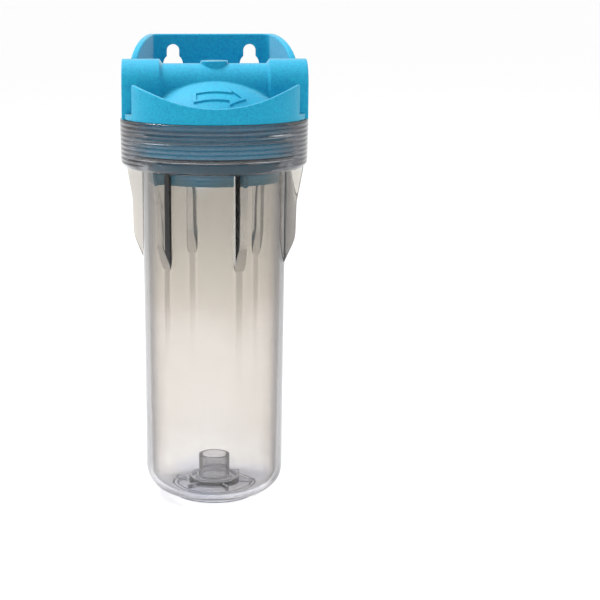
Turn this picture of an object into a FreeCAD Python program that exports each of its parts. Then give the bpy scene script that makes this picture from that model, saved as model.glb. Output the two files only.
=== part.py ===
import FreeCAD, Part
import math
import os

# Millimetres. The origin is on the bowl's axis at the foot and +Z is up.
# The front faces -Y and the wall that carries the housing is at +Y.

# Driving dimensions
collar_radius = 65.0  # outside of the bowl's collar at its rim
collar_draft = 0.5  # how much slimmer the collar is at its bottom
collar_height = 33.5
collar_wall = 4.4
collar_root_rounding = 3.0  # where the bowl meets the collar
collar_foot_rounding = 5.0  # round the collar's lower edge
rim_rounding = 1.0
shelf_rounding = 0.6
groove_rounding = 0.3
rim_level = 269.5  # top of the collar above the foot
bowl_radius = 50.3  # outside of the bowl under the collar
bowl_taper = 1.5  # how much slimmer the bowl is at its bottom
bowl_corner = 18.5
wall = 4.0
foot_radius = 30.0
foot_height = 3.0
foot_wall = 3.5
foot_rounding = 1.0
shelf_depth = 25.0  # from the rim down to the shelf that carries the seal
neck_clearance = 1.0  # between the head's inner skirt and the bowl's neck

fin_count = 6
fin_first = -132.0  # degrees from +X
fin_thickness = 5.0
fin_reach = 7.0  # beyond the bowl's wall
fin_height = 67.0
fin_knee = 0.26  # share of the height at which a fin stands clear of the bowl
fin_knee_rounding = 12.0
fin_shoulder = 0.64  # share of the height from which it flares out to the collar
fin_shoulder_rounding = 40.0
fin_lean = 0.6  # how much further out the shoulder is than the knee
fin_top_inset = 2.6  # from the collar's outside to the fin's edge
fin_sink = 0.6  # how far a fin runs up into the collar

cartridge_length = 247.65  # the standard ten inch cartridge
pedestal_radius = 18.0
pedestal_height = 5.7
pedestal_rim = 2.5
pedestal_groove_width = 2.5
pedestal_groove_depth = 1.5
standpipe_radius = 11.0
standpipe_wall = 1.7
standpipe_height = 15.7
floor_rib_length = 10.0
floor_rib_width = 2.0
floor_rib_height = 3.6
floor_rib_rounding = 0.6
floor_sink = 1.0  # how far the fittings are buried in the floor

thread_pitch = 25.4 / 6
thread_depth = 2.4
thread_root_width = 2.0
thread_crest_width = 1.0
thread_length = 13.0
thread_inset = 2.0  # from the rim down to the top of the thread
thread_gap = 0.4  # radial play between the two threads
thread_sink = 0.3  # how far a thread's root is buried in its wall

ring_section = 1.8  # radius of the seal's round section
ring_play = 0.05
ring_side_play = 0.3
ring_groove_depth = 1.5

head_gap = 0.3  # between the rim and the head's flange
flange_radius = 64.0
flange_thickness = 3.6
plug_wall = 4.2
plug_groove_depth = 19.0
inner_skirt_radius = 45.6
inner_skirt_wall = 3.0
inner_skirt_depth = 17.5  # below the shelf

dome_radius = 71.4
dome_top = 296.5
dome_wall = 4.5
dome_fillet = 1.5
skirt_thickness = 3.0
skirt_rounding = 1.0
skirt_half_angle = 62.5  # degrees either side of the front
skirt_dip = 10.5  # lowest point of the skirt's edge above the flange's underside
skirt_sweep = 105.0  # radius of the dip
skirt_sweep_reach = 37.0  # half the width of the dip's round part

pipe_level = 291.0
pipe_radius = 15.5
boss_radius = 18.6
boss_length = 25.6
boss_rounding = 0.9
boss_step = 2.2  # length of the cone between the boss and the pipe
port_span = 127.0  # from the face of one port to the other
port_bore = 12.7  # radius for a 3/4 inch pipe thread
port_depth = 20.0
port_chamfer = 1.2
passage_radius = 9.5
passage_wall = 4.0
blank_boss_radius = 9.5
blank_boss_top = 308.3
blank_boss_rounding = 0.8

nose_radius = 16.5
seal_edge_radius = 15.0
seal_edge_height = 1.6
seal_edge_width = 1.4
pilot_radius = 12.0
pilot_length = 9.0
pilot_chamfer = 1.0

wall_plane = 69.0
plate_thickness = 4.0
plate_half_width = 41.0  # inside, between the side walls
plate_top = 324.0
side_wall = 4.6
side_reach = 58.0  # how far the side walls come forward of the plate
side_splay = 13.5  # degrees
side_sweep_drop = 24.0
bracket_corner = 6.0
bracket_rounding = 1.2
web_start = 38.4  # how far behind the axis the web under the bracket begins

keyhole_spacing = 55.5
keyhole_level = 302.5  # centre of the large hole
keyhole_radius = 7.1
keyhole_slot_radius = 4.5
keyhole_slot_rise = 9.6

arrow_ridge = 1.7
arrow_rise = 1.1
arrow_place = -36.0  # its middle, in front of the axis
arrow_tail = -15.0
arrow_neck = 8.8
arrow_tip = 20.2
arrow_shaft = 4.8  # half width
arrow_head = 8.6

# Levels and radii that follow from them
collar_bottom = rim_level - collar_height
shelf_level = rim_level - shelf_depth
thread_wall_radius = collar_radius - collar_wall
plug_radius = thread_wall_radius - thread_gap - thread_depth
flange_bottom = rim_level + head_gap
floor_level = foot_height + wall
seat_level = floor_level + pedestal_height
seal_level = seat_level + cartridge_length
ring_radius = plug_radius - plug_wall / 2
ring_seat = shelf_level - ring_groove_depth
plug_bottom = ring_seat + 2 * (ring_section + ring_play)
thread_start = rim_level - thread_inset - thread_length
neck_radius = inner_skirt_radius + neck_clearance
dome_centre = dome_top - dome_radius
port_face = port_span / 2

up = FreeCAD.Vector(0, 0, 1)
along_x = FreeCAD.Vector(1, 0, 0)
along_y = FreeCAD.Vector(0, 1, 0)
origin = FreeCAD.Vector(0, 0, 0)


def point(x, y, z):
    return FreeCAD.Vector(x, y, z)


def rounded_face(corners):
    """A flat face whose corners are given as (point, radius)."""
    count = len(corners)
    starts, ends, edges = [], [], []
    for i in range(count):
        here, radius = corners[i]
        before = (corners[i - 1][0] - here).normalize()
        after = (corners[(i + 1) % count][0] - here).normalize()
        if radius == 0:
            starts.append(here)
            ends.append(here)
            continue
        half = before.getAngle(after) / 2
        setback = radius / math.tan(half)
        starts.append(here + before * setback)
        ends.append(here + after * setback)
        middle = (before + after).normalize()
        nearest = here + middle * (radius / math.sin(half) - radius)
        edges.append(Part.Arc(starts[i], nearest, ends[i]).toShape())
    for i in range(count):
        start, end = ends[i], starts[(i + 1) % count]
        if start.distanceToPoint(end) > 1e-6:
            edges.append(Part.LineSegment(start, end).toShape())
    return Part.Face(Part.Wire(Part.__sortEdges__(edges)))


def turned(corners):
    """A solid of revolution about the bowl's axis, from corners given as (radius, level, rounding)."""
    face = rounded_face([(point(r, 0, z), rounding) for r, z, rounding in corners])
    return face.revolve(origin, up, 360)


def disc(radius, low, high, x=0.0, y=0.0):
    return Part.makeCylinder(radius, high - low, point(x, y, low), up)


def block(x, y, z):
    """A box between two numbers on each axis."""
    return Part.makeBox(x[1] - x[0], y[1] - y[0], z[1] - z[0], point(x[0], y[0], z[0]))


def spun(shape, degrees):
    copy = shape.copy()
    copy.rotate(origin, up, degrees)
    return copy


def thread(wall_radius, crest_radius, start):
    """A right-hand ridge that stands on a wall and ends in a narrower crest."""
    sink = math.copysign(thread_sink, wall_radius - crest_radius)
    root = wall_radius + sink
    flare = (thread_root_width - thread_crest_width) * thread_sink / thread_depth
    half_root = (thread_root_width + flare) / 2
    half_crest = thread_crest_width / 2
    middle = start + half_root
    corners = [
        point(root, 0, middle - half_root),
        point(crest_radius, 0, middle - half_crest),
        point(crest_radius, 0, middle + half_crest),
        point(root, 0, middle + half_root),
    ]
    profile = Part.makePolygon(corners + corners[:1])
    path = Part.makeHelix(thread_pitch, thread_length - 2 * half_root, wall_radius)
    path.translate(point(0, 0, middle))
    return Part.Wire(path.Edges).makePipeShell([profile], True, True)


def bowl_body():
    """The clear moulding as turned: foot ring, bowl, collar and the shelf for the seal."""
    bottom_radius = bowl_radius - bowl_taper
    inner_bottom = bottom_radius - wall
    groove = ring_section + ring_side_play
    return turned(
        [
            (0, foot_height, 0),
            (foot_radius - foot_wall, foot_height, 0),
            (foot_radius - foot_wall, 0, foot_rounding),
            (foot_radius, 0, foot_rounding),
            (foot_radius, foot_height, 0),
            (bottom_radius, foot_height, bowl_corner),
            (bowl_radius, collar_bottom, collar_root_rounding),
            (collar_radius - collar_draft, collar_bottom, collar_foot_rounding),
            (collar_radius, rim_level, rim_rounding),
            (thread_wall_radius, rim_level, rim_rounding),
            (thread_wall_radius, shelf_level, shelf_rounding),
            (ring_radius + groove, shelf_level, groove_rounding),
            (ring_radius + groove, ring_seat, 0),
            (ring_radius - groove, ring_seat, 0),
            (ring_radius - groove, shelf_level, groove_rounding),
            (neck_radius, shelf_level, shelf_rounding),
            (neck_radius, collar_bottom - wall, 0),
            (inner_bottom, floor_level, bowl_corner - wall),
            (0, floor_level, 0),
        ]
    )


def bowl_fin():
    """One of the fins under the collar, which stops at the inside of the wall."""
    low = collar_bottom - fin_height
    edge = bowl_radius + fin_reach
    inside = bowl_radius - wall / 2
    top = collar_bottom + fin_sink
    half = point(0, fin_thickness / 2, 0)
    corners = [
        (point(inside, 0, low), 0),
        (point(bowl_radius - bowl_taper / 2, 0, low), 0),
        (point(edge, 0, low + fin_height * fin_knee), fin_knee_rounding),
        (point(edge + fin_lean, 0, low + fin_height * fin_shoulder), fin_shoulder_rounding),
        (point(collar_radius - fin_top_inset, 0, top), 0),
        (point(inside, 0, top), 0),
    ]
    face = rounded_face(corners)
    face.translate(half * -1)
    fin = face.extrude(half * 2)
    # Its lower end is round when it is looked at along its radius.
    tip = point(0, 0, low + fin_thickness / 2)
    reach = collar_radius + 1
    rounded = Part.makeCylinder(fin_thickness / 2, reach, tip, along_x)
    half_width = fin_thickness / 2
    above = block((0, reach), (-half_width, half_width), (tip.z, collar_bottom + 2))
    return fin.common(rounded.fuse(above).removeSplitter())


def floor_fittings():
    """The pedestal, the standpipe that centres the cartridge and the ribs round them."""
    sunk = floor_level - floor_sink
    pedestal = disc(pedestal_radius, sunk, seat_level)
    outer = pedestal_radius - pedestal_rim
    groove_level = seat_level - pedestal_groove_depth
    groove = disc(outer, groove_level, seat_level + 1)
    groove = groove.cut(disc(outer - pedestal_groove_width, groove_level - 1, seat_level + 2))
    standpipe = disc(standpipe_radius, sunk, seat_level + standpipe_height)
    inside = disc(
        standpipe_radius - standpipe_wall, seat_level, seat_level + standpipe_height + 1
    )
    shape = pedestal.cut(groove).fuse(standpipe).cut(inside)
    tip = pedestal_radius + floor_rib_length
    rib = block(
        (pedestal_radius - floor_rib_width, tip),
        (-floor_rib_width / 2, floor_rib_width / 2),
        (sunk, floor_level + floor_rib_height),
    )
    ends = [e for e in rib.Edges if e.CenterOfMass.x > tip - 0.1]
    rib = rib.makeFillet(floor_rib_rounding, [e for e in ends if e.CenterOfMass.z > sunk + 1])
    ribs = [spun(rib, fin_first + i * 360 / fin_count) for i in range(fin_count)]
    return shape.multiFuse(ribs)


def make_sump():
    fin = bowl_fin()
    fins = [spun(fin, fin_first + i * 360 / fin_count) for i in range(fin_count)]
    crest = thread_wall_radius - thread_depth
    ridge = thread(thread_wall_radius, crest, thread_start - thread_pitch / 2)
    return bowl_body().multiFuse(fins + [floor_fittings(), ridge]).removeSplitter()


def make_ring():
    level = ring_seat + ring_play + ring_section
    return Part.makeTorus(ring_radius, ring_section, point(0, 0, level), up)


def arch(x_low, x_high, radius, bottom):
    """A length of the cross pipe: round on top, with straight sides down to a level."""
    rod = Part.makeCylinder(radius, x_high - x_low, point(x_low, 0, pipe_level), along_x)
    return rod.fuse(block((x_low, x_high), (-radius, radius), (bottom, pipe_level)))


def boss_cone(side, boss_start):
    """The sloped step from a port boss down to the pipe, with the same straight sides."""
    start = side * boss_start
    end = side * (boss_start - boss_step)
    centre = point(start, 0, pipe_level)
    cone = Part.makeCone(boss_radius, pipe_radius, boss_step, centre, along_x * -side)
    corners = [
        point(start, -boss_radius, flange_bottom),
        point(start, boss_radius, flange_bottom),
        point(end, pipe_radius, flange_bottom),
        point(end, -pipe_radius, flange_bottom),
    ]
    base = Part.Face(Part.makePolygon(corners + corners[:1]))
    return cone.fuse(base.extrude(up * (pipe_level - flange_bottom)))


def port_boss(side):
    """One port's boss, with a rounded edge at its mouth."""
    low, high = sorted((side * port_face, side * (port_face - boss_length)))
    boss = arch(low, high, boss_radius, flange_bottom).removeSplitter()
    mouth = [e for e in boss.Edges if e.CenterOfMass.x * side > port_face - 0.1]
    mouth = [e for e in mouth if e.CenterOfMass.z > flange_bottom + 1]
    return boss.makeFillet(boss_rounding, mouth)


def blank_boss():
    """The closed boss on top of the pipe."""
    blank = disc(blank_boss_radius, pipe_level, blank_boss_top)
    rim = [e for e in blank.Edges if abs(e.BoundBox.ZMin - blank_boss_top) < 0.01]
    return blank.makeFillet(blank_boss_rounding, rim)


def pipe_body():
    boss_start = port_face - boss_length
    shapes = [arch(-boss_start - 1, boss_start + 1, pipe_radius, flange_bottom), blank_boss()]
    for side in (-1, 1):
        shapes.append(boss_cone(side, boss_start))
        shapes.append(port_boss(side))
    return shapes[0].multiFuse(shapes[1:])


def dome_body():
    ball = Part.makeSphere(dome_radius, point(0, 0, dome_centre))
    return ball.common(disc(flange_radius - 2, flange_bottom, dome_top + 1))


def is_dome_seam(edge):
    """Whether an edge is one of the long arcs between the dome and the pipe's sides."""
    middle = edge.CenterOfMass
    beside = abs(abs(middle.y) - pipe_radius) < 1.5
    return edge.Length > 15 and beside and flange_bottom < middle.z < pipe_level + pipe_radius / 2


def dome_with_pipe():
    """The dome and the pipe across it, with a small fillet where the pipe's sides rise from it."""
    body = dome_body().fuse(pipe_body()).removeSplitter()
    return body.makeFillet(dome_fillet, [e for e in body.Edges if is_dome_seam(e)])


def above_sweep(top):
    """All that is above the skirt's edge, which is an arc in the middle and straight at both ends."""
    low = flange_bottom + skirt_dip
    lean = math.asin(skirt_sweep_reach / skirt_sweep)
    arc_rise = skirt_sweep * (1 - math.cos(lean))
    end = flange_radius + 5
    end_level = low + arc_rise + (end - skirt_sweep_reach) * math.tan(lean)
    corners = [
        point(skirt_sweep_reach, 0, low + arc_rise),
        point(end, 0, end_level),
        point(end, 0, top),
        point(-end, 0, top),
        point(-end, 0, end_level),
        point(-skirt_sweep_reach, 0, low + arc_rise),
    ]
    arc = Part.Arc(corners[-1], point(0, 0, low), corners[0]).toShape()
    face = Part.Face(Part.Wire([arc] + Part.makePolygon(corners).Edges))
    return face.extrude(along_y * -2 * flange_radius)


def front_wedge(low, high):
    """The sector in front of the axis that the skirt fills."""
    reach = flange_radius * 2
    turn = math.radians(skirt_half_angle)
    side, ahead = reach * math.sin(turn), reach * math.cos(turn)
    corners = [
        point(0, 0, low),
        point(side, -ahead, low),
        point(0, -2 * reach, low),
        point(-side, -ahead, low),
    ]
    face = Part.Face(Part.makePolygon(corners + corners[:1]))
    return face.extrude(up * (high - low))


def skirt():
    """The wall that stands on the front of the flange, with its edge swept down in the middle."""
    tall = pipe_level + pipe_radius
    tube = disc(flange_radius, flange_bottom, tall)
    tube = tube.cut(disc(flange_radius - skirt_thickness, flange_bottom - 1, tall + 1))
    tube = tube.common(front_wedge(flange_bottom - 1, tall + 1)).cut(above_sweep(tall + 5))
    free = [e for e in tube.Edges if e.BoundBox.ZMax > flange_bottom + 1]
    return tube.makeFillet(skirt_rounding, free)


def bracket_plan():
    """The bracket from above: the plate with its two splayed side walls and rounded corners."""
    splay = math.radians(side_splay)
    back = wall_plane - plate_thickness
    front = wall_plane - side_reach
    inner = plate_half_width
    inner_front = inner + (back - front) * math.tan(splay)
    outer_front = inner_front + side_wall / math.cos(splay)
    outer = outer_front - (wall_plane - front) * math.tan(splay)
    half = [
        (point(inner, back, 0), bracket_corner),
        (point(inner_front, front, 0), 0),
        (point(outer_front, front, 0), 0),
        (point(outer, wall_plane, 0), bracket_corner),
    ]
    mirrored = [(point(-p.x, p.y, 0), radius) for p, radius in reversed(half)]
    return rounded_face(half + mirrored)


def bracket_sweep():
    """The bracket from the side: level at the plate, then swept down to the port bosses."""
    base = plate_top - side_sweep_drop
    curve = Part.Ellipse(origin, side_reach, side_sweep_drop).toShape(math.pi / 2, math.pi)
    curve.rotate(origin, along_x, 90)
    curve.rotate(origin, up, 90)
    curve.translate(point(0, wall_plane, base))
    front = wall_plane - side_reach
    corners = [
        point(0, front, base),
        point(0, front, flange_bottom),
        point(0, wall_plane, flange_bottom),
        point(0, wall_plane, plate_top),
    ]
    face = Part.Face(Part.Wire(Part.__sortEdges__([curve] + Part.makePolygon(corners).Edges)))
    face.translate(point(-collar_radius, 0, 0))
    return face.extrude(along_x * 2 * collar_radius)


def bracket():
    """The plate against the wall, its side walls and the web that joins them to the flange."""
    walls = bracket_plan()
    walls.translate(point(0, 0, flange_bottom))
    walls = walls.extrude(up * (plate_top - flange_bottom)).common(bracket_sweep())
    top = [e for e in walls.Edges if e.BoundBox.ZMin > plate_top - side_sweep_drop - 1]
    walls = walls.makeFillet(bracket_rounding, top)
    web = block(
        (-plate_half_width, plate_half_width),
        (web_start, wall_plane - plate_thickness / 2),
        (flange_bottom, flange_bottom + flange_thickness),
    )
    return walls.fuse(web)


def keyhole(x):
    """A large hole for a screw's head with a narrow slot above it, cut through the plate."""
    start = wall_plane - plate_thickness - 5
    depth = plate_thickness + 10
    large = Part.makeCylinder(keyhole_radius, depth, point(x, start, keyhole_level), along_y)
    top = keyhole_level + keyhole_slot_rise
    small = Part.makeCylinder(keyhole_slot_radius, depth, point(x, start, top), along_y)
    slot = block(
        (x - keyhole_slot_radius, x + keyhole_slot_radius),
        (start, start + depth),
        (keyhole_level, top),
    )
    return large.multiFuse([small, slot])


def plug():
    """The part of the head that goes down into the collar: thread, seal face and inner skirt."""
    outer = disc(plug_radius, plug_bottom, flange_bottom + 1)
    inner_bottom = shelf_level - inner_skirt_depth
    inner = disc(inner_skirt_radius, inner_bottom, flange_bottom + 1)
    groove = disc(plug_radius - plug_wall, plug_bottom - 1, plug_bottom + plug_groove_depth)
    groove = groove.cut(disc(inner_skirt_radius, plug_bottom - 2, flange_bottom))
    ridge = thread(plug_radius, plug_radius + thread_depth, thread_start)
    return outer.multiFuse([inner, ridge]).cut(groove)


def chamber():
    """The space under the dome and inside the skirt, where the water comes in round the cartridge."""
    inside = inner_skirt_radius - inner_skirt_wall
    bottom = shelf_level - inner_skirt_depth - 1
    room = disc(inside, bottom, dome_top)
    ball = Part.makeSphere(dome_radius - dome_wall, point(0, 0, dome_centre))
    room = room.common(ball)
    nose = disc(nose_radius, seal_level, dome_top)
    centre = point(0, 0, pipe_level)
    outlet_pipe = Part.makeCylinder(passage_radius + passage_wall, port_face, centre, along_x)
    return room.cut(nose.fuse(outlet_pipe))


def seal_nose():
    """What the cartridge's end pushes on: a thin edge, and a pilot that goes in its hole."""
    top = seal_level + 2
    edge = disc(seal_edge_radius, seal_level - seal_edge_height, top)
    edge = edge.cut(disc(seal_edge_radius - seal_edge_width, seal_level - 5, seal_level))
    pilot = disc(pilot_radius, seal_level - pilot_length, top)
    tip = seal_level - pilot_length
    rim = [e for e in pilot.Edges if abs(e.BoundBox.ZMax - tip) < 0.01]
    pilot = pilot.makeChamfer(pilot_chamfer, rim)
    return edge.fuse(pilot)


def passages():
    """Inlet into the chamber on the left, and outlet from the nose to the right, with their ports."""
    shapes = []
    for side in (-1, 1):
        axis = along_x * -side
        mouth = point(side * port_face, 0, pipe_level)
        shapes.append(Part.makeCylinder(port_bore, port_depth, mouth, axis))
        shapes.append(
            Part.makeCone(port_bore + port_chamfer, port_bore, port_chamfer, mouth, axis)
        )
    inlet_end = -inner_skirt_radius + inner_skirt_wall + passage_radius
    inlet = point(-port_face, 0, pipe_level)
    outlet = point(port_face, 0, pipe_level)
    length = port_face + inlet_end
    shapes.append(Part.makeCylinder(passage_radius, length, inlet, along_x))
    shapes.append(disc(passage_radius, seal_level, pipe_level, inlet_end))
    shapes.append(Part.makeSphere(passage_radius, point(inlet_end, 0, pipe_level)))
    shapes.append(Part.makeCylinder(passage_radius, port_face, outlet, along_x * -1))
    shapes.append(disc(passage_radius, seal_level - pilot_length - 1, pipe_level))
    shapes.append(Part.makeSphere(passage_radius, point(0, 0, pipe_level)))
    return shapes


def arrow_outline():
    """The flow arrow in plan, as a tail, a shaft and a pointed head, drawn with one ridge width."""
    corners = [
        (arrow_tail, arrow_place - arrow_shaft),
        (arrow_neck, arrow_place - arrow_shaft),
        (arrow_neck, arrow_place - arrow_head),
        (arrow_tip, arrow_place),
        (arrow_neck, arrow_place + arrow_head),
        (arrow_neck, arrow_place + arrow_shaft),
        (arrow_tail, arrow_place + arrow_shaft),
    ]
    wire = Part.makePolygon([point(x, y, 0) for x, y in corners + corners[:1]])
    outer = Part.Face(wire)
    inner = outer.makeOffset2D(-arrow_ridge, 2)
    return outer.cut(inner)


def flow_arrow():
    """A raised outline that follows the dome."""
    column = arrow_outline()
    column.translate(point(0, 0, flange_bottom + 2))
    column = column.extrude(up * 60)
    ball = Part.makeSphere(dome_radius + arrow_rise, point(0, 0, dome_centre))
    hollow = Part.makeSphere(dome_radius - dome_wall / 2, point(0, 0, dome_centre))
    return column.common(ball.cut(hollow))


def make_head():
    flange = disc(flange_radius, flange_bottom, flange_bottom + flange_thickness)
    body = flange.multiFuse([dome_with_pipe(), bracket(), plug()])
    body = body.cut(chamber())
    body = body.multiFuse([skirt(), seal_nose(), flow_arrow()])
    holes = [keyhole(side * keyhole_spacing / 2) for side in (-1, 1)]
    return body.cut(holes + passages())


def save(name, shape):
    solid = shape.Solids[0]
    print(name, "solids", len(shape.Solids), "valid", solid.isValid(), "volume", round(solid.Volume))
    solid.exportStep(f"parts/{name}.step")


os.makedirs("parts", exist_ok=True)
save("head", make_head())
save("sump", make_sump())
save("sump_o_ring", make_ring())
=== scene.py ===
import bpy
import math
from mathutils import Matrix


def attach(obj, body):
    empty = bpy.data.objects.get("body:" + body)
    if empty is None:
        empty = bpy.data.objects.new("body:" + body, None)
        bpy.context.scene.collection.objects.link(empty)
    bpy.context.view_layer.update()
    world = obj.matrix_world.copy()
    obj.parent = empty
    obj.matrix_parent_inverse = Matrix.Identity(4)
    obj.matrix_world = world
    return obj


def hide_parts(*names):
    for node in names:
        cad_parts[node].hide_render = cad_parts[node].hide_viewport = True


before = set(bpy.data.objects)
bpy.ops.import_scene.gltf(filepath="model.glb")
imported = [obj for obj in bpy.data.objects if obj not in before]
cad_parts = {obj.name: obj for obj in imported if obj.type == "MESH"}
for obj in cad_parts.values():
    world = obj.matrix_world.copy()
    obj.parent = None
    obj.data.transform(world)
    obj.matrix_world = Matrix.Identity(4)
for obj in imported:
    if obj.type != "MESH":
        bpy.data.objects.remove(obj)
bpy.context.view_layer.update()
print("frame loaded")

mm = 0.001  # lengths on the object are given in millimetres, and places in the studio in metres


# materials

class Wire:
    # one value in a material's node tree, with the arithmetic that is used on it
    def __init__(self, tree, socket=None):
        self.tree = tree
        self.socket = socket

    def node(self, kind, settings=None, inputs=None, output=0):
        made = self.tree.nodes.new(kind)
        for key, value in (settings or {}).items():
            if key == "stops":
                fillRamp(made.color_ramp, value)
            else:
                setattr(made, key, value)
        for key, value in (inputs or {}).items():
            if isinstance(value, Wire):
                self.tree.links.new(value.socket, made.inputs[key])
            else:
                made.inputs[key].default_value = value
        return Wire(self.tree, made.outputs[output] if made.outputs else None)

    def maths(self, operation, first, second):
        return self.node("ShaderNodeMath", {"operation": operation}, {0: first, 1: second})

    def __add__(self, other):
        return self.maths("ADD", self, other)

    def __radd__(self, other):
        return self.maths("ADD", other, self)

    def __sub__(self, other):
        return self.maths("SUBTRACT", self, other)

    def __rsub__(self, other):
        return self.maths("SUBTRACT", other, self)

    def __mul__(self, other):
        return self.maths("MULTIPLY", self, other)

    def __rmul__(self, other):
        return self.maths("MULTIPLY", other, self)


def fillRamp(ramp, stops):
    while len(ramp.elements) < len(stops):
        ramp.elements.new(0.5)
    for element, (place, colour) in zip(ramp.elements, stops):
        element.position = place
        element.color = colour


def newMaterial(name, fixed):
    # fixed holds what is the same all over, set on the shader's own sockets
    material = bpy.data.materials.new(name)
    material.use_nodes = True
    shader = material.node_tree.nodes["Principled BSDF"]
    for key, value in fixed.items():
        shader.inputs[key].default_value = value
    place = Wire(material.node_tree).node("ShaderNodeTexCoord", output="Object")
    return material, shader, place


def feed(shader, **wires):
    names = {"colour": "Base Color", "roughness": "Roughness", "normal": "Normal"}
    for key, wire in wires.items():
        wire.tree.links.new(wire.socket, shader.inputs[names[key]])


def noise(place, scale, detail):
    inputs = {"Vector": place, "Scale": scale, "Detail": detail}
    return place.node("ShaderNodeTexNoise", None, inputs)


def blendColours(factor, first, second, blend="MIX"):
    wire = factor if isinstance(factor, Wire) else first
    settings = {"data_type": "RGBA", "blend_type": blend}
    return wire.node("ShaderNodeMix", settings, {0: factor, 6: first, 7: second}, output=2)


def clamped(wire):
    return wire.node("ShaderNodeClamp", None, {"Value": wire})


bluePlastic = {
    "deep": (0.0, 0.23, 0.47, 1.0),
    "light": (0.01, 0.46, 0.63, 1.0),
    "toneScale": 22.0,
    "grainScale": 1500.0,
    "coarseScale": 520.0,
    "grainHeight": 0.34,
    "grainStrength": 0.8,
    "grainContrast": 3.0,
    "fineShare": 0.6,
    "toneShare": 0.35,
    "roughness": 0.5,
    "roughnessSpread": 0.16,
    "gloss": {"IOR": 1.49, "Specular IOR Level": 0.3},
    "sheen": {"Sheen Weight": 1.0, "Sheen Roughness": 0.27, "Sheen Tint": (1.0, 0.95, 0.8, 1.0)},
}


def makeBluePlastic(name):
    b = bluePlastic
    material, shader, place = newMaterial(name, {**b["gloss"], **b["sheen"]})
    tone = noise(place, b["toneScale"], 3.0)
    fine = noise(place, b["grainScale"], 1.0)
    coarse = noise(place, b["coarseScale"], 2.0)
    grain = fine * b["fineShare"] + coarse * (1 - b["fineShare"])
    sharp = (grain - 0.5) * b["grainContrast"] + 0.5
    mixed = tone * b["toneShare"] + sharp * (1 - b["toneShare"])
    feed(shader, colour=blendColours(mixed, b["deep"], b["light"]))
    feed(shader, roughness=b["roughness"] + grain * b["roughnessSpread"])
    bump = {"Height": grain, "Distance": b["grainHeight"] * mm, "Strength": b["grainStrength"]}
    feed(shader, normal=grain.node("ShaderNodeBump", None, bump))
    return material


clearPlastic = {
    # painted shade: a tint by how nearly edge on the surface is seen, from face on to edge on, that darkens
    # the plastic towards its outlines
    "edgeShadeStops": [
        (0.0, (1.0, 1.0, 1.0, 1.0)),
        (0.31, (0.97, 0.96, 0.95, 1.0)),
        (0.46, (0.79, 0.77, 0.75, 1.0)),
        (0.58, (0.40, 0.375, 0.37, 1.0)),
        (0.7, (0.10, 0.10, 0.12, 1.0)),
        (0.86, (0.02, 0.024, 0.035, 1.0)),
    ],
    # tint by height, from the foot to the rim: the plastic's own pale warm tint with painted reflection and
    # shade on it, bluish and darker at the very foot, lightest just above it, darker and warmer towards the
    # top, paler and bluer at the rim
    "tintAndPaintedShadeStops": [
        (0.0, (0.62, 0.635, 0.70, 1.0)),
        (0.03, (0.74, 0.75, 0.80, 1.0)),
        (0.07, (0.85, 0.84, 0.83, 1.0)),
        (0.11, (0.82, 0.80, 0.78, 1.0)),
        (0.16, (0.765, 0.74, 0.71, 1.0)),
        (0.45, (0.745, 0.715, 0.68, 1.0)),
        (0.54, (0.675, 0.64, 0.585, 1.0)),
        (0.86, (0.665, 0.635, 0.58, 1.0)),
        (0.9, (0.80, 0.88, 0.94, 1.0)),
    ],
    "flowScale": 26.0,
    "flowStretch": (1.0, 1.0, 0.35),
    "flowSpread": 0.14,  # how far the flow marks shift the tint's edges
    "waveHeight": 0.22,
    "waveStrength": 0.5,
    "collarStart": 0.87,
    "collarSharpness": 30.0,
    # painted shade: how much the collar adds to the edge-on darkening, and how much of it the foot keeps
    # and how fast it grows above the foot
    "collarEdgeShade": 0.24,
    "footEdgeShade": 0.56,
    "footEdgeShadeRise": 6.0,
    "ringPitch": 3.1,
    "ringHeight": 0.12,
    "smearScale": 240.0,
    "roughness": 0.015,
    "roughnessSpread": 0.03,
    "depth": {"Color": (0.35, 0.38, 0.45, 1.0), "Density": 28.0},
    "shadowColour": (0.95, 0.945, 0.93, 1.0),
}


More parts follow.
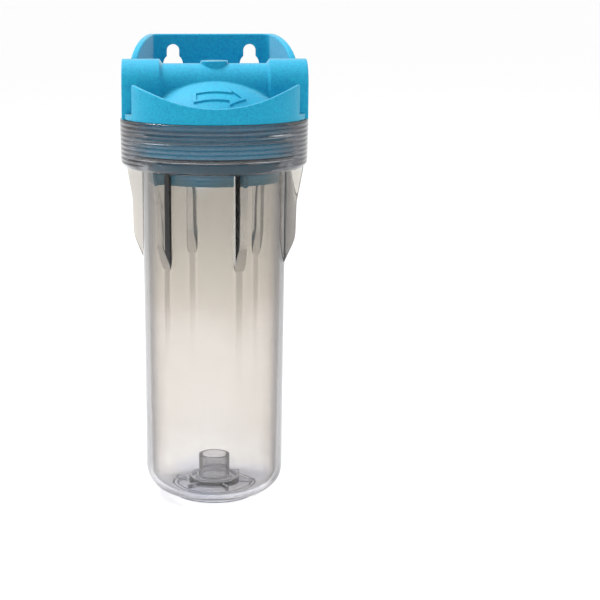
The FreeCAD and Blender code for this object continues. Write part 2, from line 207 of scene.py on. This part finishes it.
def makeClearPlastic(name):
    c = clearPlastic
    material, shader, place = newMaterial(name, {"IOR": 1.54, "Transmission Weight": 1.0})
    stretched = place.node("ShaderNodeMapping", None, {"Vector": place, "Scale": c["flowStretch"]})
    flow = noise(stretched, c["flowScale"], 1.0)
    smear = noise(place, c["smearScale"], 3.0)
    # painted reflection and shade by height over the plastic's own tint: darker and warmer towards its top,
    # bluish at its foot
    level = place.node("ShaderNodeSeparateXYZ", None, {"Vector": place}, output="Z")
    share = level * (1 / (bowl["rimLevel"] * mm)) + (flow - 0.5) * c["flowSpread"]
    face = share.node("ShaderNodeValToRGB", {"stops": c["tintAndPaintedShadeStops"]}, {"Fac": share})
    collar = clamped((share - c["collarStart"]) * c["collarSharpness"])
    # painted shade: where the surface is seen edge on it is darkened, most in the collar and least at the
    # foot
    facing = place.node("ShaderNodeLayerWeight", None, {"Blend": 0.5}, output="Facing")
    edgeShadeFade = clamped(share * c["footEdgeShadeRise"] + c["footEdgeShade"])
    edgeShadeAmount = (facing + collar * c["collarEdgeShade"]) * edgeShadeFade
    edge = edgeShadeAmount.node("ShaderNodeValToRGB", {"stops": c["edgeShadeStops"]}, {"Fac": edgeShadeAmount})
    feed(shader, colour=blendColours(1.0, face, edge, "MULTIPLY"))
    feed(shader, roughness=c["roughness"] + smear * c["roughnessSpread"])
    bump = {"Height": flow, "Distance": c["waveHeight"] * mm, "Strength": c["waveStrength"]}
    waves = flow.node("ShaderNodeBump", None, bump)
    # fine rings left around the collar by the threaded core
    rings = level.maths("SINE", level * (2 * math.pi / (c["ringPitch"] * mm)), 0.0)
    ringBump = {"Height": rings * collar, "Distance": c["ringHeight"] * mm, "Normal": waves}
    feed(shader, normal=rings.node("ShaderNodeBump", None, {"Strength": 1.0, **ringBump}))
    absorption = place.node("ShaderNodeVolumeAbsorption", None, c["depth"])
    surface = material.node_tree.nodes["Material Output"]
    material.node_tree.links.new(absorption.socket, surface.inputs["Volume"])
    # lamps reach through the clear walls
    toLamp = place.node("ShaderNodeLightPath", output="Is Shadow Ray")
    passing = place.node("ShaderNodeBsdfTransparent", None, {"Color": c["shadowColour"]})
    solid = Wire(material.node_tree, shader.outputs["BSDF"])
    both = place.node("ShaderNodeMixShader", None, {0: toLamp, 1: solid, 2: passing})
    material.node_tree.links.new(both.socket, surface.inputs["Surface"])
    return material


sealRubber = {
    "black": (0.012, 0.012, 0.013, 1.0),
    "bloom": (0.035, 0.035, 0.037, 1.0),
    "bloomScale": 90.0,
    "grainScale": 3000.0,
    "grainHeight": 0.03,
    "grainStrength": 0.6,
    "roughness": 0.38,
    "roughnessSpread": 0.2,
}


def makeSealRubber(name):
    r = sealRubber
    material, shader, place = newMaterial(name, {"IOR": 1.52})
    bloom = noise(place, r["bloomScale"], 4.0)
    grain = noise(place, r["grainScale"], 1.0)
    feed(shader, colour=blendColours(bloom, r["black"], r["bloom"]))
    feed(shader, roughness=r["roughness"] + bloom * r["roughnessSpread"])
    bump = {"Height": grain, "Distance": r["grainHeight"] * mm, "Strength": r["grainStrength"]}
    feed(shader, normal=grain.node("ShaderNodeBump", None, bump))
    return material


# modelling helpers

def setMode(mode):
    bpy.ops.object.mode_set(mode=mode)


def selectOnly(*pieces):
    bpy.ops.object.select_all(action="DESELECT")
    for piece in pieces:
        piece.select_set(True)
    bpy.context.view_layer.objects.active = pieces[0]


def roundedOutline(corners, stepDegrees=15):
    # corners are (across, level, rounding); a rounding becomes a short run of points on its arc
    points = []
    for i, (across, level, rounding) in enumerate(corners):
        if not rounding:
            points.append((across, level))
            continue
        before, after = corners[i - 1], corners[(i + 1) % len(corners)]
        inAngle = math.atan2(before[1] - level, before[0] - across)
        outAngle = math.atan2(after[1] - level, after[0] - across)
        opening = (outAngle - inAngle + math.pi) % (2 * math.pi) - math.pi
        half = abs(opening) / 2
        middle = inAngle + opening / 2
        centreX = across + math.cos(middle) * rounding / math.sin(half)
        centreZ = level + math.sin(middle) * rounding / math.sin(half)
        sweep = (math.pi - 2 * half) * (-1 if opening > 0 else 1)
        count = max(3, math.ceil(abs(math.degrees(sweep)) / stepDegrees))
        start = middle + math.pi - sweep / 2
        for step in range(count + 1):
            turn = start + sweep * step / count
            points.append((centreX + rounding * math.cos(turn), centreZ + rounding * math.sin(turn)))
    return points


def drawOutline(name, points):
    # one point, pulled from place to place in the XZ plane; stays in edit mode with all selected
    bpy.ops.object.select_all(action="DESELECT")
    bpy.ops.mesh.primitive_plane_add(size=mm, location=(0, 0, 0))
    piece = bpy.context.object
    piece.name = name
    piece.data.name = name
    setMode("EDIT")
    bpy.ops.mesh.select_all(action="SELECT")
    bpy.ops.mesh.merge(type="CENTER")
    bpy.ops.transform.translate(value=(points[0][0] * mm, 0, points[0][1] * mm))
    for before, here in zip(points, points[1:]):
        move = ((here[0] - before[0]) * mm, 0, (here[1] - before[1]) * mm)
        bpy.ops.mesh.extrude_vertices_move(TRANSFORM_OT_translate={"value": move})
    bpy.ops.mesh.select_all(action="SELECT")
    return piece


def closeShape():
    bpy.ops.mesh.select_all(action="SELECT")
    bpy.ops.mesh.remove_doubles(threshold=0.002 * mm)
    bpy.ops.mesh.normals_make_consistent(inside=False)
    setMode("OBJECT")


def turnedPiece(name, points, steps):
    piece = drawOutline(name, points)
    bpy.ops.mesh.spin(steps=steps, angle=2 * math.pi, center=(0, 0, 0), axis=(0, 0, 1))
    closeShape()
    return piece


def slabPiece(name, points, thickness):
    # a flat outline made thick evenly to both sides of the XZ plane
    piece = drawOutline(name, points)
    bpy.ops.mesh.edge_face_add()
    bpy.ops.transform.translate(value=(0, -thickness * mm / 2, 0))
    bpy.ops.mesh.extrude_region_move(TRANSFORM_OT_translate={"value": (0, thickness * mm, 0)})
    closeShape()
    return piece


def applyModifier(piece, kind, **settings):
    selectOnly(piece)
    modifier = piece.modifiers.new(kind.lower(), kind)
    for key, value in settings.items():
        setattr(modifier, key, value)
    bpy.ops.object.modifier_apply(modifier=modifier.name)


def roundEdges(piece, width, segments=3, angle=35):
    limit = math.radians(angle)
    applyModifier(piece, "BEVEL", width=width * mm, segments=segments, angle_limit=limit)


def applyPlace(piece):
    selectOnly(piece)
    bpy.ops.object.transform_apply(location=True, rotation=True, scale=True)


def ringOfCopies(piece, count, first):
    # the piece itself turns to the first place, and its copies fill the rest of the circle
    pieces = [piece]
    for i in range(1, count):
        selectOnly(piece)
        bpy.ops.object.duplicate(linked=False)
        pieces.append(bpy.context.object)
    for i, each in enumerate(pieces):
        each.rotation_euler.z = math.radians(first + i * 360 / count)
        applyPlace(each)
    return pieces


def fuse(piece, others):
    selectOnly(*others)
    if len(others) > 1:
        bpy.ops.object.join()
    applyModifier(piece, "BOOLEAN", operation="UNION", solver="EXACT", object=others[0])
    bpy.data.objects.remove(others[0])


def helixRidge(name, wallRadius, crestRadius, sink, root, crest, pitch, turns, start, perTurn=96):
    # a ridge on a wall, drawn as its section and swept up a helix; its ends fade into the wall
    away = math.copysign(sink, wallRadius - crestRadius)
    base = wallRadius + away
    half, tip = root / 2, crest / 2
    section = [
        (base, start - half), (crestRadius, start - tip),
        (crestRadius, start + tip), (base, start + half),
    ]
    piece = drawOutline(name, section)
    bpy.ops.mesh.edge_face_add()
    bpy.ops.mesh.delete(type="ONLY_FACE")
    setMode("OBJECT")
    steps = round(perTurn * turns)
    applyModifier(
        piece, "SCREW", angle=2 * math.pi * turns, screw_offset=pitch * turns * mm,
        steps=steps, render_steps=steps, axis="Z", use_merge_vertices=False,
    )
    fadeEnds(piece, section, steps, base)
    setMode("EDIT")
    bpy.ops.mesh.select_all(action="SELECT")
    bpy.ops.mesh.fill_holes(sides=4)
    closeShape()
    return piece


def fadeEnds(piece, section, steps, base):
    # the crest sinks towards the wall over the first and last few steps
    fadeSteps = 9
    least = 0.12  # how much of its height the ridge keeps at its very end
    for vertex in piece.data.vertices:
        turned = vertex.index // len(section)
        left = min(turned, steps - turned)
        across = math.hypot(vertex.co.x, vertex.co.y)
        if left >= fadeSteps or abs(across - base * mm) < 0.01 * mm:
            continue
        rise = least + (1 - least) * left / fadeSteps
        wanted = base * mm + (across - base * mm) * rise
        vertex.co.x *= wanted / across
        vertex.co.y *= wanted / across


def finishPiece(piece, material, body, angle=30):
    piece.data.materials.clear()
    piece.data.materials.append(material)
    selectOnly(piece)
    bpy.ops.object.shade_smooth_by_angle(angle=math.radians(angle))
    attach(piece, body)


# the clear bowl: a turned moulding, its fins, its floor ribs and its thread

bowl = {
    "collarRadius": 65.0, "collarDraft": 0.5, "collarHeight": 33.5, "collarWall": 4.4,
    "rimLevel": 269.5, "radius": 50.3, "taper": 1.5, "corner": 18.5, "wall": 4.0,
    "footRadius": 30.0, "footHeight": 3.0, "footWall": 3.5, "shelfDepth": 25.0,
    "neckRadius": 46.6, "ringRadius": 55.7, "grooveHalf": 2.1, "grooveDepth": 1.5,
    "pedestalRadius": 18.0, "pedestalHeight": 5.7, "pedestalRim": 2.5, "pedestalGroove": 2.5,
    "pedestalGrooveDepth": 1.5, "standpipeRadius": 11.0, "standpipeWall": 1.7, "standpipeHeight": 15.7,
    "collarRoot": 3.0, "collarFoot": 5.0, "neckRounding": 8.0,
    "edge": 1.0, "footRoot": 0.8, "fineEdge": 0.6, "pipeEdge": 0.5, "seatEdge": 0.4, "grooveEdge": 0.3,
    "steps": 144,
}
fins = {
    "count": 6, "first": -132.0, "rootThickness": 9.4, "taper": 0.24, "reach": 7.0, "height": 67.0,
    "knee": 0.26, "kneeRounding": 20.0, "shoulder": 0.64, "shoulderRounding": 40.0, "lean": 0.6,
    "topInset": 2.6, "sink": 0.6, "rounding": 2.1,
    "tipLength": 7.0, "tipThickness": 3.6, "tipCuts": 6, "tipSpacing": 1.6,
}
floorRibs = {
    "length": 10.0, "width": 2.0, "height": 3.6, "sink": 1.0, "overlap": 1.5, "rounding": 1.2, "edge": 0.4,
}
bowlThread = {
    "depth": 2.4, "sink": 0.3, "root": 2.1, "crest": 1.0, "pitch": 25.4 / 6, "length": 13.0, "inset": 2.0,
}


def bowlOutline():
    b = bowl
    bottom = b["rimLevel"] - b["collarHeight"]
    shelf = b["rimLevel"] - b["shelfDepth"]
    threadWall = b["collarRadius"] - b["collarWall"]
    groove = shelf - b["grooveDepth"]
    footInside = b["footRadius"] - b["footWall"]
    lowRadius = b["radius"] - b["taper"]
    floor = b["footHeight"] + b["wall"]
    seat = floor + b["pedestalHeight"]
    rim = b["pedestalRadius"] - b["pedestalRim"]
    hollow = rim - b["pedestalGroove"]
    pipe = b["standpipeRadius"]
    pipeTop = seat + b["standpipeHeight"]
    pipeInside = pipe - b["standpipeWall"]
    ditch = seat - b["pedestalGrooveDepth"]
    edge, fine, small = b["edge"], b["fineEdge"], b["grooveEdge"]
    return roundedOutline([
        (0, b["footHeight"], 0),
        (footInside, b["footHeight"], fine),
        (footInside, 0, edge),
        (b["footRadius"], 0, edge),
        (b["footRadius"], b["footHeight"], b["footRoot"]),
        (lowRadius, b["footHeight"], b["corner"]),
        (b["radius"], bottom, b["collarRoot"]),
        (b["collarRadius"] - b["collarDraft"], bottom, b["collarFoot"]),
        (b["collarRadius"], b["rimLevel"], edge),
        (threadWall, b["rimLevel"], edge),
        (threadWall, shelf, fine),
        (b["ringRadius"] + b["grooveHalf"], shelf, small),
        (b["ringRadius"] + b["grooveHalf"], groove, small),
        (b["ringRadius"] - b["grooveHalf"], groove, small),
        (b["ringRadius"] - b["grooveHalf"], shelf, small),
        (b["neckRadius"], shelf, fine),
        (b["neckRadius"], bottom - b["wall"], b["neckRounding"]),
        (lowRadius - b["wall"], floor, b["corner"] - b["wall"]),
        (b["pedestalRadius"], floor, fine),
        (b["pedestalRadius"], seat, b["seatEdge"]),
        (rim, seat, small),
        (rim, ditch, small),
        (hollow, ditch, small),
        (hollow, seat, small),
        (pipe, seat, fine),
        (pipe, pipeTop, b["pipeEdge"]),
        (pipeInside, pipeTop, b["pipeEdge"]),
        (pipeInside, seat, b["pipeEdge"]),
        (0, seat, 0),
    ])


def finOutline():
    bottom = bowl["rimLevel"] - bowl["collarHeight"]
    low = bottom - fins["height"]
    inside = bowl["radius"] - bowl["wall"] / 2
    edge = bowl["radius"] + fins["reach"]
    top = bottom + fins["sink"]
    return roundedOutline([
        (inside, low, 0),
        (bowl["radius"] - bowl["taper"] / 2, low, 0),
        (edge, low + fins["height"] * fins["knee"], fins["kneeRounding"]),
        (edge + fins["lean"], low + fins["height"] * fins["shoulder"], fins["shoulderRounding"]),
        (bowl["collarRadius"] - fins["topInset"], top, 0),
        (inside, top, 0),
    ])


def shapeFin(fin):
    # both sides lean in evenly from the root, and the lower end closes in a round tip
    inside = bowl["radius"] - bowl["wall"] / 2
    low = bowl["rimLevel"] - bowl["collarHeight"] - fins["height"]
    selectOnly(fin)
    setMode("EDIT")
    for i in range(1, fins["tipCuts"] + 1):
        level = (low + fins["tipLength"] * (i / fins["tipCuts"]) ** fins["tipSpacing"]) * mm
        bpy.ops.mesh.select_all(action="SELECT")
        bpy.ops.mesh.bisect(plane_co=(0, 0, level), plane_no=(0, 0, 1))
    setMode("OBJECT")
    for vertex in fin.data.vertices:
        half = fins["rootThickness"] / 2 - fins["taper"] * (vertex.co.x / mm - inside)
        above = min(1, max(0, (vertex.co.z / mm - low) / fins["tipLength"]))
        tip = fins["tipThickness"] / 2
        half = tip + (half - tip) * math.sqrt(1 - (1 - above) ** 2)
        vertex.co.y = math.copysign(half * mm, vertex.co.y)


def makeRib():
    floor = bowl["footHeight"] + bowl["wall"]
    low, high = floor - floorRibs["sink"], floor + floorRibs["height"]
    start = bowl["pedestalRadius"] - floorRibs["overlap"]
    end = bowl["pedestalRadius"] + floorRibs["length"]
    corners = [(start, low, 0), (end, low, 0), (end, high, floorRibs["rounding"]), (start, high, 0)]
    rib = slabPiece("rib", roundedOutline(corners), floorRibs["width"])
    roundEdges(rib, floorRibs["edge"], segments=2, angle=50)
    return rib


def makeBowl():
    piece = turnedPiece("sump_clear", bowlOutline(), bowl["steps"])
    fin = slabPiece("fin", finOutline(), fins["rootThickness"])
    shapeFin(fin)
    roundEdges(fin, fins["rounding"], segments=4, angle=50)
    fuse(piece, ringOfCopies(fin, fins["count"], fins["first"]))
    fuse(piece, ringOfCopies(makeRib(), fins["count"], fins["first"]))
    t = bowlThread
    threadWall = bowl["collarRadius"] - bowl["collarWall"]
    start = bowl["rimLevel"] - t["inset"] - t["length"] - t["pitch"] / 2 + t["root"] / 2
    turns = (t["length"] - t["root"]) / t["pitch"]
    ridge = helixRidge(
        "bowl_thread", threadWall, threadWall - t["depth"], t["sink"], t["root"], t["crest"],
        t["pitch"], turns, start,
    )
    fuse(piece, [ridge])
    finishPiece(piece, bowlClear, "sump", angle=28)
    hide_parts("sump")


headBlue = makeBluePlastic("headBlue")
bowlClear = makeClearPlastic("bowlClear")
ringBlack = makeSealRubber("ringBlack")
print("materials made")

makeBowl()
print("bowl made")


# the pipe threads inside the two ports

portThread = {
    "wall": 12.7, "crestRadius": 12.05, "sink": 0.12, "root": 1.7, "crest": 0.25,
    "pitch": 25.4 / 14, "turns": 8.5, "first": 2.6, "face": 63.5, "level": 291.0,
}


def makePortThread(name, side):
    t = portThread
    piece = helixRidge(
        name, t["wall"], t["crestRadius"], t["sink"], t["root"], t["crest"],
        t["pitch"], t["turns"], t["first"],
    )
    piece.rotation_euler.y = math.radians(-90 * side)
    piece.location = (side * t["face"] * mm, 0, t["level"] * mm)
    applyPlace(piece)
    finishPiece(piece, headBlue, "head")


makePortThread("inlet_port_thread", -1)
makePortThread("outlet_port_thread", 1)
print("port threads made")


# the head and the seal keep their own shapes

for node, material in (("head", headBlue), ("sump_o_ring", ringBlack)):
    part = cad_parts[node]
    part.data.materials.clear()
    part.data.materials.append(material)


# floor, light and camera

studio = {
    "floorSize": 80.0,
    "floorDrop": 0.0002,
    "floorPale": (0.93, 0.93, 0.93, 1.0),
    "floorPaler": (0.95, 0.95, 0.95, 1.0),
    "floorSpeckScale": 40.0,
    "floorRoughness": 0.85,
    "floorRoughnessSpread": 0.1,
    "skyStrength": 1.8,
    "skyStops": [
        (0.0, (0.20, 0.205, 0.21, 1.0)),
        (0.3, (0.24, 0.245, 0.25, 1.0)),
        (0.75, (0.62, 0.62, 0.62, 1.0)),
        (1.0, (1.0, 1.0, 1.0, 1.0)),
    ],
    "backdrop": (0.52, 0.52, 0.52, 1.0),
    "backdropSharpness": 2.5,
    "plainStrength": 1.05,
    "key": {"place": (-0.7, 0.4, 1.5), "size": 0.7, "power": 22.0},
    "top": {"place": (0.0, 0.5, 1.6), "size": 1.2, "power": 2.0},
    "aimHeight": 0.2,
    "cameraPlace": (-0.0365, -1.0994, 0.3672),
    "cameraTilt": 11.64,  # degrees down from level
    "cameraTurn": -1.9,
    "lens": 95.3,
    "shift": 0.143,
    "nearest": 0.05,
}


def makeFloor():
    bpy.ops.object.select_all(action="DESELECT")
    bpy.ops.mesh.primitive_plane_add(size=studio["floorSize"], location=(0, 0, -studio["floorDrop"]))
    floor = bpy.context.object
    floor.name = "studio_floor"
    material, shader, place = newMaterial("floorWhite", {"Specular IOR Level": 0.1})
    speck = noise(place, studio["floorSpeckScale"], 2.0)
    feed(shader, colour=blendColours(speck, studio["floorPale"], studio["floorPaler"]))
    feed(shader, roughness=studio["floorRoughness"] + speck * studio["floorRoughnessSpread"])
    floor.data.materials.append(material)


def makeSky():
    # bright overhead and dim low down in front, with a pale backdrop behind
    world = bpy.data.worlds.new("studioSky")
    bpy.context.scene.world = world
    world.use_nodes = True
    world.node_tree.nodes.clear()
    start = Wire(world.node_tree)
    direction = start.node("ShaderNodeTexCoord", output="Generated")
    height = direction.node("ShaderNodeSeparateXYZ", None, {"Vector": direction}, output="Z")
    ceiling = height.node("ShaderNodeValToRGB", {"stops": studio["skyStops"]}, {"Fac": height})
    depth = direction.node("ShaderNodeSeparateXYZ", None, {"Vector": direction}, output="Y")
    behind = clamped(depth * studio["backdropSharpness"])
    colour = blendColours(behind, ceiling, studio["backdrop"])
    sky = {"Color": colour, "Strength": studio["skyStrength"]}
    lit = start.node("ShaderNodeBackground", None, sky)
    white = {"Color": (1.0, 1.0, 1.0, 1.0), "Strength": studio["plainStrength"]}
    plain = start.node("ShaderNodeBackground", None, white)
    direct = start.node("ShaderNodeLightPath", output="Is Camera Ray")
    both = start.node("ShaderNodeMixShader", None, {0: direct, 1: lit, 2: plain})
    start.node("ShaderNodeOutputWorld", None, {"Surface": both})


def makeLamp(name, place, size, power):
    light = bpy.data.lights.new(name, "AREA")
    light.size = size
    light.energy = power
    lamp = bpy.data.objects.new(name, light)
    bpy.context.scene.collection.objects.link(lamp)
    lamp.location = place
    aim = lamp.location.copy()
    aim.z -= studio["aimHeight"]
    lamp.rotation_mode = "QUATERNION"
    lamp.rotation_quaternion = aim.to_track_quat("Z", "Y")


def makeCamera():
    data = bpy.data.cameras.new("camera")
    data.lens = studio["lens"]
    data.shift_x = studio["shift"]
    data.clip_start = studio["nearest"]
    camera = bpy.data.objects.new("camera", data)
    bpy.context.scene.collection.objects.link(camera)
    camera.location = studio["cameraPlace"]
    camera.rotation_euler = (math.radians(90 - studio["cameraTilt"]), 0, math.radians(studio["cameraTurn"]))
    bpy.context.scene.camera = camera


makeFloor()
makeSky()
for name in ("key", "top"):
    makeLamp(name, **studio[name])
makeCamera()
bpy.context.scene.view_settings.view_transform = "Standard"
print("studio made")
